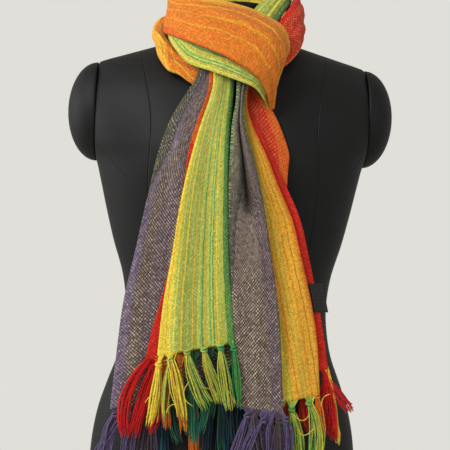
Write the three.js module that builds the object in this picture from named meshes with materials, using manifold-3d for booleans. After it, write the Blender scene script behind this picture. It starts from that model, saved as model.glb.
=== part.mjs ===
// Handwoven striped stole, looped round the neck of a limbless dress form.
// Millimetres, +Z up, the wearer faces -Y, origin at the middle of the form's flat base.
import * as THREE from 'three';
import ManifoldModule from 'manifold-3d';

const wasm = await ManifoldModule();
wasm.setup();

// ---- driving sizes -------------------------------------------------------------------
const FORM_HEIGHT = 642; // flat base to the flat top of the neck
const ARMHOLE_X = 166; // the form's sides are cut flat here for the shoulder caps
const SEAM_GAP = 0.35; // pieces that meet at a seam are this far apart
const WALL = 1.6; // the cloth's wall
const LAYER_GAP = 3.4; // middle of one folded layer to the middle of the next
const FRINGE_LENGTH = 74;
const LOCK_PITCH = 17.4; // one knotted lock each 17.4 mm of the cloth's end

const FORM_SEGMENTS = 32;
const CAP_SEGMENTS = 18;

// ---- the dress form ------------------------------------------------------------------
// One row a level: half width, depth to the front, depth to the back, and how square the
// outline is (2 is an ellipse, larger is squarer).
const FORM_LEVELS = [
  { z: 0, half: 162, front: 101, back: 112, square: 2.25 },
  { z: 50, half: 165, front: 104, back: 117, square: 2.25 },
  { z: 100, half: 163, front: 103, back: 118, square: 2.25 },
  { z: 141, half: 156, front: 99, back: 114, square: 2.25 },
  { z: 175, half: 145, front: 94, back: 107, square: 2.25 },
  { z: 211, half: 132, front: 88, back: 98, square: 2.25 },
  { z: 245, half: 126, front: 85, back: 91, square: 2.25 },
  { z: 275, half: 125, front: 85, back: 88, square: 2.25 },
  { z: 310, half: 130, front: 88, back: 89, square: 2.25 },
  { z: 350, half: 142, front: 94, back: 93, square: 2.25 },
  { z: 390, half: 152, front: 100, back: 98, square: 2.25 },
  { z: 425, half: 160, front: 104, back: 102, square: 2.25 },
  { z: 448, half: 166, front: 105, back: 104, square: 2.25 },
  { z: 470, half: 177, front: 104, back: 105, square: 2.25 },
  { z: 500, half: 183, front: 100, back: 104, square: 2.25 },
  { z: 530, half: 182, front: 90, back: 99, square: 2.25 },
  { z: 552, half: 175, front: 78, back: 90, square: 2.1 },
  { z: 568, half: 167, front: 66, back: 80, square: 1.8 },
  { z: 578, half: 137, front: 59, back: 72, square: 1.8 },
  { z: 590, half: 97, front: 54, back: 65, square: 1.8 },
  { z: 600, half: 66, front: 52, back: 59, square: 1.8 },
  { z: 608, half: 54, front: 51, back: 54, square: 2.0 },
  { z: 625, half: 51, front: 50, back: 52, square: 2.0 },
  { z: FORM_HEIGHT, half: 51, front: 50, back: 52, square: 2.0 },
];
const BUST = { x: 70, z: 447, spreadX: 40, spreadZ: 46, height: 11 };
const CAP = { y: 4, z: 508, halfDepth: 52, halfHeight: 61, reach: 36 };
// Rings of a shoulder cap, as shares of the quarter turn from its rim to its tip.
const CAP_RINGS = [0, 0.22, 0.45, 0.66, 0.84, 0.95];

function formPoint(level, turn) {
  const c = Math.cos(turn);
  const s = Math.sin(turn);
  const power = 2 / level.square;
  const x = level.half * Math.sign(c) * Math.abs(c) ** power;
  const depth = s < 0 ? level.front : level.back;
  let y = depth * Math.sign(s) * Math.abs(s) ** power;
  if (s < 0) {
    const dx = (Math.abs(x) - BUST.x) / BUST.spreadX;
    const dz = (level.z - BUST.z) / BUST.spreadZ;
    y -= BUST.height * Math.exp(-dx * dx - dz * dz);
  }
  return new THREE.Vector3(THREE.MathUtils.clamp(x, -ARMHOLE_X, ARMHOLE_X), y, level.z);
}

// Rings of points joined into a closed skin, with a flat fan at each end.
function skin(rings) {
  const count = rings[0].length;
  const positions = [];
  const index = [];
  for (const ring of rings) {
    for (const p of ring) positions.push(p.x, p.y, p.z);
  }
  for (let i = 0; i + 1 < rings.length; i++) {
    for (let j = 0; j < count; j++) {
      const a = i * count + j;
      const b = i * count + ((j + 1) % count);
      index.push(a, b, b + count, a, b + count, a + count);
    }
  }
  for (const [ring, flip] of [[0, true], [rings.length - 1, false]]) {
    const middle = rings[ring].reduce((sum, p) => sum.add(p), new THREE.Vector3());
    middle.divideScalar(count);
    const centre = positions.length / 3;
    positions.push(middle.x, middle.y, middle.z);
    for (let j = 0; j < count; j++) {
      const a = ring * count + j;
      const b = ring * count + ((j + 1) % count);
      if (flip) index.push(centre, b, a);
      else index.push(centre, a, b);
    }
  }
  return geometryOf(positions, index);
}

function geometryOf(positions, index) {
  const geometry = new THREE.BufferGeometry();
  geometry.setAttribute('position', new THREE.Float32BufferAttribute(positions, 3));
  geometry.setIndex(index);
  geometry.computeVertexNormals();
  return geometry;
}

function torso() {
  const rings = FORM_LEVELS.map((level) => {
    const ring = [];
    for (let j = 0; j < FORM_SEGMENTS; j++) {
      ring.push(formPoint(level, ((j + 0.5) / FORM_SEGMENTS) * 2 * Math.PI));
    }
    return ring;
  });
  return skin(rings);
}

// A D-shaped dome on one armhole; side is -1 or 1.
function shoulderCap(side) {
  const rings = CAP_RINGS.map((share) => {
    const lift = share * (Math.PI / 2);
    const ring = [];
    for (let j = 0; j < CAP_SEGMENTS; j++) {
      const turn = (j / CAP_SEGMENTS) * 2 * Math.PI * side;
      const y = CAP.y + CAP.halfDepth * Math.cos(lift) * Math.cos(turn);
      const z = CAP.z + CAP.halfHeight * Math.cos(lift) * Math.sin(turn);
      const x = side * (ARMHOLE_X + SEAM_GAP + CAP.reach * Math.sin(lift));
      ring.push(new THREE.Vector3(x, y, z));
    }
    return ring;
  });
  return skin(rings);
}

// ---- cloth ---------------------------------------------------------------------------
// A table: its columns' names, then one list of sizes a row.
function table(names, rows) {
  const keys = names.split(' ');
  return rows.map((row) => Object.fromEntries(row.map((size, k) => [keys[k], size])));
}

// Smooth value of one column of a table between its rows; `at` runs along the key column.
function column(rows, key, name, at) {
  const rising = rows[rows.length - 1][key] > rows[0][key];
  let k = 0;
  while (k < rows.length - 2 && (rising ? at > rows[k + 1][key] : at < rows[k + 1][key])) k++;
  const a = rows[k];
  const b = rows[k + 1];
  const span = b[key] - a[key];
  const t = THREE.MathUtils.clamp((at - a[key]) / span, 0, 1);
  const before = rows[k - 1] ?? a;
  const after = rows[k + 2] ?? b;
  const slopeA = ((b[name] - before[name]) / (b[key] - before[key])) * span;
  const slopeB = ((after[name] - a[name]) / (after[key] - a[key])) * span;
  const t2 = t * t;
  const t3 = t2 * t;
  return (2 * t3 - 3 * t2 + 1) * a[name] + (t3 - 2 * t2 + t) * slopeA
    + (3 * t2 - 2 * t3) * b[name] + (t3 - t2) * slopeB;
}

// A closed wall round a grid of middle points, grid[row][column].
function wallAround(grid, wall) {
  const rows = grid.length;
  const cols = grid[0].length;
  const positions = [];
  const index = [];
  const at = (i, j) => {
    const row = grid[THREE.MathUtils.clamp(i, 0, rows - 1)];
    return row[THREE.MathUtils.clamp(j, 0, cols - 1)];
  };
  for (const side of [1, -1]) {
    for (let i = 0; i < rows; i++) {
      for (let j = 0; j < cols; j++) {
        const along = at(i + 1, j).clone().sub(at(i - 1, j));
        const across = at(i, j + 1).clone().sub(at(i, j - 1));
        const normal = across.cross(along).normalize();
        const p = at(i, j).clone().addScaledVector(normal, (side * wall) / 2);
        positions.push(p.x, p.y, p.z);
      }
    }
  }
  const id = (layer, i, j) => layer * rows * cols + i * cols + j;
  for (let i = 0; i + 1 < rows; i++) {
    for (let j = 0; j + 1 < cols; j++) {
      const front = [id(0, i, j), id(0, i, j + 1), id(0, i + 1, j + 1), id(0, i + 1, j)];
      const back = [id(1, i, j), id(1, i, j + 1), id(1, i + 1, j + 1), id(1, i + 1, j)];
      index.push(front[0], front[1], front[2], front[0], front[2], front[3]);
      index.push(back[0], back[2], back[1], back[0], back[3], back[2]);
    }
  }
  const close = (a, b) => {
    index.push(id(0, ...b), id(0, ...a), id(1, ...a));
    index.push(id(0, ...b), id(1, ...a), id(1, ...b));
  };
  for (let j = 0; j + 1 < cols; j++) {
    close([0, j], [0, j + 1]);
    close([rows - 1, j + 1], [rows - 1, j]);
  }
  for (let i = 0; i + 1 < rows; i++) {
    close([i + 1, 0], [i, 0]);
    close([i, cols - 1], [i + 1, cols - 1]);
  }
  return geometryOf(positions, index);
}

// ---- hanging tails: layers folded on each other --------------------------------------
// A tail's layers run from the red selvedge to the purple one. Each layer has a level, the
// number of layer gaps behind the front one. The rows give, at each height, where the
// folds are (x0 is the red selvedge, the last x the purple one), how far forward the front
// layer is and how strongly the bundle is rounded.
const TAIL_A = {
  layers: [
    { level: 2, points: 5 },
    { level: 1, points: 4 },
    { level: 0, points: 8 },
    { level: 3, points: 8 },
  ],
  rows: table('z x0 x1 x2 x3 x4 front round wave', [
    [562, -33, -12, -29, -3, -42, -112.9, 0.005, 0],
    [540, -32, -10, -27, -3, -48, -116.9, 0.005, 0.4],
    [520, -35, -10, -30, -4, -60, -120.9, 0.0045, 0.7],
    [488, -46, -12, -40, -6.5, -77, -127.3, 0.003, 0.9],
    [452, -55, -14, -50, -7.5, -89, -133, 0.0012, 1],
    [400, -60, -14, -61, -6, -100, -134, 0.0008, 1],
    [335, -70, -14, -70, -3, -113, -133, 0.0007, 1],
    [282, -82, -15, -78, 2.5, -124, -132, 0.0006, 1],
    [240, -93, -16, -82, 7.5, -129, -131, 0.0005, 1],
    [150, -108, -18, -88, 15, -137, -129, 0.0004, 1],
  ]),
  hems: [203, 214, 220, 237, 156],
  hemCurve: 0.32,
  middle: -45,
  top: 557,
};

const TAIL_B = {
  layers: [
    { level: 5, points: 6 },
    { level: 4, points: 4 },
    { level: 3, points: 8 },
    { level: 2, points: 4 },
    { level: 1, points: 4 },
    { level: 0, points: 6 },
  ],
  rows: table('z x0 x1 x2 x3 x4 x5 x6 front round wave', [
    [562, 22, 6, 19, 1, 16, 0, 13, -113, 0.005, 0],
    [540, 18, 4, 15, 1, 13, 0, 10, -117.5, 0.005, 0.3],
    [513, 15, 3, 12, 0, 9, -1, 6, -124.7, 0.004, 0.5],
    [488, 25, 4, 18, -2, 10, -5, 7, -132, 0.003, 0.7],
    [447, 44, 10, 37, -2, 20, -7, 19, -139, 0.0012, 0.9],
    [420, 58, 14, 48, -2, 27, -7.5, 26, -141, 0.0009, 1],
    [380, 76, 20, 66, 0, 35, -6.5, 35, -141, 0.0007, 1],
    [335, 88, 26, 78, 4, 41, -4, 43, -140, 0.0006, 1],
    [285, 100, 32, 91, 9, 48, 0, 51.5, -138, 0.0005, 1],
    [241, 109, 38, 99, 13, 52, 4.5, 56, -137, 0.0004, 1],
    [150, 122, 46, 106, 20, 60, 14, 62, -135, 0.0004, 1],
  ]),
  hems: [208, 186, 178, 160, 158, 162, 157],
  hemCurve: 1,
  middle: 30,
  top: 557,
};

const TAIL_ROWS = 13;
const ROW_CROWDING = 0.9; // below 1, a tail's rows lie closer together near its end
const FOLD_POINTS = 3; // points round a fold, between its two layers
const WAVES = [
  { length: 47, height: 1.5, phase: 0.4, drift: 0.0 },
  { length: 23, height: 0.6, phase: 1.9, drift: 0.004 },
];

function tailWave(x, z, strength) {
  let y = 0;
  for (const wave of WAVES) {
    y += wave.height * Math.sin((2 * Math.PI * x) / wave.length + wave.phase + wave.drift * z);
  }
  return y * strength;
}

// A point of the front layer's middle.
function tailSurface(tail, x, z) {
  const front = column(tail.rows, 'z', 'front', z);
  const round = column(tail.rows, 'z', 'round', z) * (x - tail.middle) ** 2;
  const wave = tailWave(x, z, column(tail.rows, 'z', 'wave', z));
  return new THREE.Vector3(x, front + round + wave, z);
}

// The columns of a tail: one for each point across the flat cloth, in order.
function tailColumns(tail) {
  const columns = [];
  tail.layers.forEach((layer, k) => {
    for (let p = 0; p < layer.points; p++) columns.push({ k, along: p / (layer.points - 1) });
    if (k + 1 < tail.layers.length) {
      for (let p = 1; p <= FOLD_POINTS; p++) columns.push({ k, bend: p / (FOLD_POINTS + 1) });
    }
  });
  return columns;
}

function tailPoint(tail, col, z) {
  const turn = (n) => column(tail.rows, 'z', `x${n}`, z);
  const levels = tail.layers.map((layer) => layer.level);
  const last = tail.layers.length - 1;
  const run = Math.sign(turn(col.k + 1) - turn(col.k));
  // A fold's bend reaches out from where its two layers end by this much.
  const bend = (k) => {
    if (k < 0 || k >= last) return 0;
    return Math.min(LAYER_GAP, (Math.abs(levels[k + 1] - levels[k]) * LAYER_GAP) / 2);
  };
  const start = turn(col.k) + run * bend(col.k - 1);
  const end = turn(col.k + 1) - run * bend(col.k);
  let x;
  let depth;
  if (col.bend === undefined) {
    x = start + (end - start) * col.along;
    depth = levels[col.k] * LAYER_GAP;
  } else {
    const a = col.bend * Math.PI;
    const half = ((levels[col.k + 1] - levels[col.k]) * LAYER_GAP) / 2;
    x = end + run * bend(col.k) * Math.sin(a);
    depth = levels[col.k] * LAYER_GAP + half * (1 - Math.cos(a));
  }
  const p = tailSurface(tail, x, z);
  p.y += depth;
  return p;
}

function hemHeight(tail, col) {
  const share = col.bend === undefined ? col.along : 1;
  const along = col.k === tail.layers.length - 1 ? share ** tail.hemCurve : share;
  return tail.hems[col.k] + (tail.hems[col.k + 1] - tail.hems[col.k]) * along;
}

function tailSheet(tail) {
  const columns = tailColumns(tail);
  const grid = [];
  for (let i = 0; i < TAIL_ROWS; i++) {
    const down = (i / (TAIL_ROWS - 1)) ** ROW_CROWDING;
    grid.push(columns.map((col) => {
      const z = tail.top + (hemHeight(tail, col) - tail.top) * down;
      return tailPoint(tail, col, z);
    }));
  }
  return wallAround(grid, WALL);
}

// ---- strands round the neck ----------------------------------------------------------
// Each row is one cut across a strand: its upper edge (ux, uy, uz), its lower edge
// (lx, ly, lz) and how far it bulges out between them. The upper strand is folded along its
// upper edge, and its inner layer ends at (gx, gy, gz).
const UPPER_STRAND = table('ux uy uz lx ly lz bulge gx gy gz', [
  [41, -108, 507, 39, -113, 507, 1.5, 37.5, -109, 507],
  [43.5, -107, 538, 34, -125, 522, 5, 31, -118, 517],
  [54, -101, 564, 25, -133, 537, 9, 22, -124, 527],
  [60, -96, 579, 17, -136, 544, 12, 13, -127, 532],
  [59, -92, 592, 7, -135, 551, 14, 2, -127, 536],
  [52, -88, 606, -5, -132, 558, 14, -12, -124, 541],
  [37, -84, 616, -19, -126, 566, 14, -31, -117, 548],
  [17, -79, 626, -36, -116, 574, 14, -48, -106, 554],
  [-6, -74, 633, -53, -102, 582, 13, -61, -96, 562],
  [-35, -63, 643, -75, -76, 593, 10, -76, -76, 583],
  [-55, -38, 657, -87, -44, 604, 8, -81, -42, 602],
  [-63, -6, 672, -79, -6, 630, 7, -73, -6, 624],
  [-52, 30, 680, -66, 38, 640, 7, -61, 35, 634],
  [-29, 53, 683, -38, 66, 643, 7, -35, 61, 637],
  [0, 60, 684, 0, 75, 644, 7, 0, 70, 638],
  [29, 53, 683, 38, 66, 643, 7, 35, 61, 637],
  [50, 30, 680, 64, 36, 642, 7, 60, 33, 636],
  [56, 2, 673, 71, 2, 640, 6, 67, 2, 635],
  [44.5, -34.5, 654, 65, -33.5, 640, 5.4, 60, -31, 637],
  [25, -58, 632, 48, -56, 612, 5, 44, -52, 611],
  [10, -71, 608, 36, -72, 588, 4, 32, -68, 587],
  [-4, -88, 584, 20, -90, 569, 3, 18, -86, 567],
]);
const UPPER_PARTS = [
  { name: 'loop_over', from: 0, to: 11, steps: 20, color: '#e8782a' },
  { name: 'wrap_back_upper', from: 11, to: 17, steps: 10, color: '#b08a5a' },
  { name: 'strand_green', from: 17, to: 21, steps: 7, color: '#7fc04a' },
];

const LOWER_STRAND = table('ux uy uz lx ly lz bulge', [
  [-36, -97, 560, -36, -98, 531, 1.5],
  [-45, -90, 561, -52, -98, 535, 3],
  [-54, -80, 567, -67, -92, 546, 5],
  [-63, -68, 573, -80, -86, 552, 7],
  [-71, -55, 580, -89, -73, 565, 8],
  [-80, -43, 590, -94, -56, 577, 9],
  [-86, -26, 605, -95, -32, 589, 9],
  [-88, -4, 619, -94, -6, 597, 9],
  [-85, 16, 631, -90, 16, 600, 10],
  [-73, 43, 636, -80, 46, 601, 9],
  [-44, 71, 638, -48, 79, 603, 9],
  [0, 82, 639, 0, 92, 604, 9],
  [44, 71, 640, 48, 79, 604, 9],
  [72, 42, 645, 78, 46, 606, 9],
  [78, 8, 659, 84, 8, 612, 7],
  [76, -20, 654, 84, -20, 607, 6],
  [65.5, -44, 636, 82, -46, 596, 6],
  [50, -62, 613, 75, -64, 580, 6],
  [39, -76, 591, 60, -79, 563, 5],
  [28, -86, 570, 40, -89, 549, 3],
]);
const LOWER_PARTS = [
  { name: 'loop_under', from: 0, to: 8, steps: 14, color: '#e9c234' },
  { name: 'wrap_back_lower', from: 8, to: 14, steps: 10, color: '#7d9a4e' },
  { name: 'strand_red', from: 14, to: 19, steps: 9, color: '#c9301f' },
];

const EDGE_FOLD = 1.9; // half the space between the two layers at a strand's folded edge
const TUCK = 0.22; // part of a half turn by which an open strand's edges roll in
const PLEATS = { count: 3, height: 0.9 };
const SEAM_SHARE = 0.012; // of a step between two rows, so that two pieces part by 0.5 mm
const TURN_SHARE = 0.3; // of a step, on either side of a cut, to find which way it faces
const OPEN_POINTS = 15;
const FOLDED_POINTS = 8; // on each of the two layers
const EDGE_TURNS = [0.25, 0.5, 0.75]; // points round the folded edge, in half turns
const INNER_DROP = 4; // how much less the inner layer bulges than the front one

// Rows evenly spread between two rows of a strand's table, with a seam's gap at each end.
function strandRows(strand, part) {
  const rows = [];
  const keyed = strand.map((row, n) => ({ ...row, n }));
  const names = Object.keys(strand[0]);
  const end = strand.length - 1;
  for (let i = 0; i <= part.steps; i++) {
    let n = part.from + ((part.to - part.from) * i) / part.steps;
    if (i === 0 && part.from > 0) n += SEAM_SHARE;
    if (i === part.steps && part.to < end) n -= SEAM_SHARE;
    const cut = (m) => {
      const sizes = names.map((name) => [name, column(keyed, 'n', name, m)]);
      return Object.fromEntries(sizes);
    };
    const before = cut(Math.max(n - TURN_SHARE, 0));
    const after = cut(Math.min(n + TURN_SHARE, end));
    rows.push({ ...cut(n), before, after });
  }
  return rows;
}

// The frame of one cut: its middle, the way up the strand and the way out of it.
function cutFrame(row) {
  const upper = new THREE.Vector3(row.ux, row.uy, row.uz);
  const lower = new THREE.Vector3(row.lx, row.ly, row.lz);
  const middle = upper.clone().add(lower).multiplyScalar(0.5);
  const { before, after } = row;
  const along = new THREE.Vector3(
    after.ux + after.lx - before.ux - before.lx,
    after.uy + after.ly - before.uy - before.ly,
    after.uz + after.lz - before.uz - before.lz,
  );
  const up = upper.clone().sub(lower);
  const half = up.length() / 2;
  up.normalize();
  const out = along.cross(up).normalize();
  if (out.x * middle.x + out.y * middle.y < 0) out.negate();
  return { middle, up, out, half, upper, lower };
}

// Cloth laid open round the neck, with both edges rolled in.
function openStrand(rows) {
  return rows.map((row) => {
    const { middle, up, out, half } = cutFrame(row);
    const ring = [];
    for (let j = 0; j < OPEN_POINTS; j++) {
      const share = -TUCK + (1 + 2 * TUCK) * (j / (OPEN_POINTS - 1));
      const a = Math.PI * share;
      const pleat = PLEATS.height * Math.sin(Math.PI * THREE.MathUtils.clamp(share, 0, 1))
        * Math.cos(2 * Math.PI * PLEATS.count * share);
      const p = middle.clone();
      p.addScaledVector(up, half * Math.cos(a));
      p.addScaledVector(out, row.bulge * Math.sin(a) + pleat);
      ring.push(p);
    }
    return ring;
  });
}

// Cloth folded along its upper edge: an inner layer that ends at g, and a front layer.
function foldedStrand(rows) {
  return rows.map((row) => {
    const { up, out, upper, lower } = cutFrame(row);
    const inner = new THREE.Vector3(row.gx, row.gy, row.gz);
    const ring = [];
    const layer = (to, lift, share, strength) => {
      const start = upper.clone().addScaledVector(out, lift);
      const p = start.lerp(to, share);
      const pleat = PLEATS.height * Math.cos(2 * Math.PI * PLEATS.count * share);
      const rise = (row.bulge + pleat) * strength * Math.sin(Math.PI * share);
      return p.addScaledVector(out, rise);
    };
    const innerRise = 1 - INNER_DROP / Math.max(row.bulge, INNER_DROP);
    for (let j = 0; j < FOLDED_POINTS; j++) {
      ring.push(layer(inner, -EDGE_FOLD, 1 - j / (FOLDED_POINTS - 1), innerRise));
    }
    for (const halfTurns of EDGE_TURNS) {
      const turn = halfTurns * Math.PI;
      const p = upper.clone().addScaledVector(up, EDGE_FOLD * Math.sin(turn));
      ring.push(p.addScaledVector(out, -EDGE_FOLD * Math.cos(turn)));
    }
    for (let j = 0; j < FOLDED_POINTS; j++) {
      ring.push(layer(lower, EDGE_FOLD, j / (FOLDED_POINTS - 1), 1));
    }
    return ring;
  });
}

// ---- the slack of the loop that hangs behind the right tail ---------------------------
const DRAPE = {
  layers: [
    { level: 0, points: 6 },
    { level: 1, points: 5 },
  ],
  rows: table('z x0 x1 x2 front round wave', [
    [540, 20, 22, 24, -92.3, 0, 0],
    [532, 6, 22, 16, -94.3, 0, 0],
    [522, 6, 29, 12, -98.3, 0, 0.2],
    [508, 8, 41, 10, -103.3, 0, 0.5],
    [483, 12, 53, 12, -111.3, 0, 0.8],
    [455, 18, 62, 18, -117.3, 0, 1],
    [436, 26, 61, 26, -120.3, 0, 1],
    [415, 36, 60, 36, -121.3, 0, 1],
  ]),
  hems: [440, 404, 430],
  hemCurve: 1,
  middle: 40,
  top: 534,
};

// ---- fringes -------------------------------------------------------------------------
// Each fringe hangs from one layer of a tail's end. `phase` shifts its locks along the end,
// `swing` is how far they stand out to the back (or, below 0, to the front).
const FRINGES = [
  { name: 'fringe_a_red', tail: TAIL_A, layer: 0, swing: -2, phase: 0, color: '#c8261c' },
  { name: 'fringe_a_gold', tail: TAIL_A, layer: 1, swing: -5, phase: 0.5, color: '#e6a52b' },
  { name: 'fringe_a_front', tail: TAIL_A, layer: 2, swing: -11, phase: 0, color: '#b9c93a' },
  { name: 'fringe_a_back', tail: TAIL_A, layer: 3, swing: 7, phase: 0, color: '#5b4a86' },
  { name: 'fringe_b_red', tail: TAIL_B, layer: 0, swing: 6, phase: 0, color: '#c8261c' },
  { name: 'fringe_b_gold', tail: TAIL_B, layer: 2, swing: 1, phase: 0, color: '#d9b62f' },
  { name: 'fringe_b_front', tail: TAIL_B, layer: 5, swing: -5, phase: 0, color: '#5b4a86' },
];
const BACKING = { height: 4, wall: 2, margin: 0.04 };
const BACKING_ROWS = [0, 0.5, 1];
const LOCK_SIDES = 4;
const LOCK_MARGIN = 0.06; // share of the end left free of locks at each side
const LOCK_ROOT = 0.6; // share of the backing's height at which a lock starts
const LOCK_EASE = 12; // a lock swings out over this much of its length
// Locks differ a little in how they lean, and in their lengths.
const LEAN = { size: 3, turn: 2.4 };
const LENGTHS = { mean: 0.96, size: 0.05, turn: 1.7 };
const LOCK_SHAPE = [
  { along: 0, radius: 1.1 },
  { along: 0.07, radius: 2.5 },
  { along: 0.12, radius: 1.5 },
  { along: 0.5, radius: 2.4 },
  { along: 0.85, radius: 2.9 },
  { along: 1, radius: 1.2 },
];

function solidOf(geometry) {
  const mesh = new wasm.Mesh({
    numProp: 3,
    vertProperties: Float32Array.from(geometry.attributes.position.array),
    triVerts: Uint32Array.from(geometry.index.array),
  });
  mesh.merge();
  return new wasm.Manifold(mesh);
}

function geometryOfSolid(solid) {
  const mesh = solid.getMesh();
  return geometryOf(Array.from(mesh.vertProperties), Array.from(mesh.triVerts));
}

// A hanging lock of yarn: it leaves the cloth's end, is knotted and then hangs loose.
function lock(root, swing, lean, length) {
  const rings = LOCK_SHAPE.map(({ along, radius }) => {
    const down = along * length;
    const ease = 1 - Math.exp(-down / LOCK_EASE);
    const middle = new THREE.Vector3(
      root.x + lean * along,
      root.y + swing * ease,
      root.z - down,
    );
    const ring = [];
    for (let j = 0; j < LOCK_SIDES; j++) {
      const turn = -((j + 0.5) / LOCK_SIDES) * 2 * Math.PI;
      const spoke = new THREE.Vector3(Math.cos(turn), Math.sin(turn), 0);
      ring.push(spoke.multiplyScalar(radius).add(middle));
    }
    return ring;
  });
  return skin(rings);
}

function fringe({ tail, layer, swing, phase }) {
  const end = (along, below) => {
    const col = { k: layer, along };
    return tailPoint(tail, col, hemHeight(tail, col) - below);
  };
  const steps = tail.layers[layer].points - 1;
  const strip = [];
  for (const share of BACKING_ROWS) {
    const row = [];
    for (let j = 0; j <= steps; j++) {
      const along = THREE.MathUtils.clamp(j / steps, BACKING.margin, 1 - BACKING.margin);
      row.push(end(along, SEAM_GAP + BACKING.height * share));
    }
    strip.push(row);
  }
  let solid = solidOf(wallAround(strip, BACKING.wall));
  const width = end(0, 0).distanceTo(end(1, 0));
  const count = Math.max(2, Math.round(width / LOCK_PITCH) - (phase > 0 ? 1 : 0));
  for (let i = 0; i < count; i++) {
    const place = (i + 0.5 + phase * 0.5) / (count + phase * 0.5);
    const along = THREE.MathUtils.clamp(place, LOCK_MARGIN, 1 - LOCK_MARGIN);
    const lean = LEAN.size * Math.sin(LEAN.turn * i + layer);
    const share = LENGTHS.mean + LENGTHS.size * Math.cos(LENGTHS.turn * i + layer);
    const length = FRINGE_LENGTH * share;
    const root = end(along, BACKING.height * LOCK_ROOT);
    solid = solid.add(solidOf(lock(root, swing, lean, length)));
  }
  return geometryOfSolid(solid);
}

// ---- the maker's label, sewn to the red selvedge of the right tail --------------------
const LABEL = { top: 306, height: 33, width: 17, wall: 1, rows: 5, columns: 5, inset: 1.6 };

function label() {
  const selvedge = TAIL_B.layers[0].level * LAYER_GAP;
  const lift = WALL / 2 + 2 * SEAM_GAP + LABEL.wall / 2;
  const grid = [];
  for (let i = 0; i < LABEL.rows; i++) {
    const z = LABEL.top - (LABEL.height * i) / (LABEL.rows - 1);
    const start = column(TAIL_B.rows, 'z', 'x2', z) + LABEL.inset;
    const row = [];
    for (let j = 0; j < LABEL.columns; j++) {
      const x = start + (LABEL.width * j) / (LABEL.columns - 1);
      const p = tailSurface(TAIL_B, x, z);
      p.y += selvedge - lift;
      row.push(p);
    }
    grid.push(row);
  }
  return wallAround(grid, LABEL.wall);
}

// ---- assembly ------------------------------------------------------------------------
const part = new THREE.Group();
part.name = 'stole_on_dress_form';

function add(name, geometry, color, roughness = 0.9) {
  const material = new THREE.MeshStandardMaterial({ color, roughness });
  material.name = `${name}_material`;
  const mesh = new THREE.Mesh(geometry, material);
  mesh.name = name;
  part.add(mesh);
  return mesh;
}

add('form_torso', torso(), '#1c1c1e', 0.6);
add('form_cap_left', shoulderCap(-1), '#1c1c1e', 0.6);
add('form_cap_right', shoulderCap(1), '#1c1c1e', 0.6);

for (const piece of UPPER_PARTS) {
  const rows = strandRows(UPPER_STRAND, piece);
  add(piece.name, wallAround(foldedStrand(rows), WALL), piece.color);
}
for (const piece of LOWER_PARTS) {
  const rows = strandRows(LOWER_STRAND, piece);
  add(piece.name, wallAround(openStrand(rows), WALL), piece.color);
}
add('loop_drape', tailSheet(DRAPE), '#dd5a26');
add('tail_a', tailSheet(TAIL_A), '#8fb43a');
add('tail_b', tailSheet(TAIL_B), '#8b8178');
add('label', label(), '#151517', 0.7);
for (const piece of FRINGES) add(piece.name, fringe(piece), piece.color);

export default part;
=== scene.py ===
# Handwoven striped stole, looped round the neck of a limbless dress form.
# Tables are in millimetres, in the part's own frame: +Z up, the form faces -Y. The cloth is
# one warp-striped sheet, and `s` is the distance across it from the red selvedge.
import math

import bpy
import numpy as np
from mathutils import Matrix, Vector


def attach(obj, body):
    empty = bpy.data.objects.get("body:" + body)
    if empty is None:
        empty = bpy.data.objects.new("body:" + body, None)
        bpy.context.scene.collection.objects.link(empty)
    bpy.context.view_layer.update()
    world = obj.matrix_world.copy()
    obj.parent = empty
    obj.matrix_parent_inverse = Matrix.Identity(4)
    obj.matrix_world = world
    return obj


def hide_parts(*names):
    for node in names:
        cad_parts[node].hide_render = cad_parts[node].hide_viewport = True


MM = 0.001
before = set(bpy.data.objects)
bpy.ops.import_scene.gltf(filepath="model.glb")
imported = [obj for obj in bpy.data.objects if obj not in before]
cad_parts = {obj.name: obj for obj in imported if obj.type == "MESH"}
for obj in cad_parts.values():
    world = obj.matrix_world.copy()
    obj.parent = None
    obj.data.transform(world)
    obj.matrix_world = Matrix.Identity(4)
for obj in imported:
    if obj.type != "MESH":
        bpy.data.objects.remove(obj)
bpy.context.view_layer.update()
rng = np.random.default_rng(7)

# ---- sizes ----
CLOTH_WIDTH = 400
CLOTH_THICK = 1.0  # as drawn
HALF_WALL = 0.8  # half the thickness of the cloth's solids
LAYER_GAP = 3.4  # between two folded layers of a tail
LOCK_PITCH = 17.4
ARMHOLE_X = 166  # where the torso is cut flat under its shoulder caps
SEAM_GAP = 0.35  # left between solids that would touch
TEAL_S = 262  # where the teal and navy stripes start
UMBER_S = 298  # where the dark grey ones start


class Table:
    """Rows of named sizes, read smoothly between rows along the first column."""

    def __init__(self, names, rows, numbered=False):
        self.names = names.split()
        if numbered:
            rows = [(n, *row) for n, row in enumerate(rows)]
            self.names.insert(0, "n")
        self.rows = np.array(sorted(rows), float)

    def at(self, name, key):
        keys, values = self.rows[:, 0], self.rows[:, self.names.index(name)]
        key = np.clip(np.asarray(key, float), keys[0], keys[-1])
        last = len(keys) - 1
        a = np.clip(np.searchsorted(keys, key, side="right") - 1, 0, last - 1)
        b = a + 1
        before, after = np.maximum(a - 1, 0), np.minimum(b + 1, last)
        span = keys[b] - keys[a]
        t = (key - keys[a]) / span
        slope_a = (values[b] - values[before]) / (keys[b] - keys[before]) * span
        slope_b = (values[after] - values[a]) / (keys[after] - keys[a]) * span
        return (
            (2 * t**3 - 3 * t**2 + 1) * values[a]
            + (t**3 - 2 * t**2 + t) * slope_a
            + (3 * t**2 - 2 * t**3) * values[b]
            + (t**3 - t**2) * slope_b
        )


def ease(low, high, x):
    t = np.clip((x - low) / (high - low), 0, 1)
    return t * t * (3 - 2 * t)


def unit(v):
    return v / np.maximum(np.linalg.norm(v, axis=-1, keepdims=True), 1e-9)


def join(*parts):
    return np.stack(parts, -1)


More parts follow.
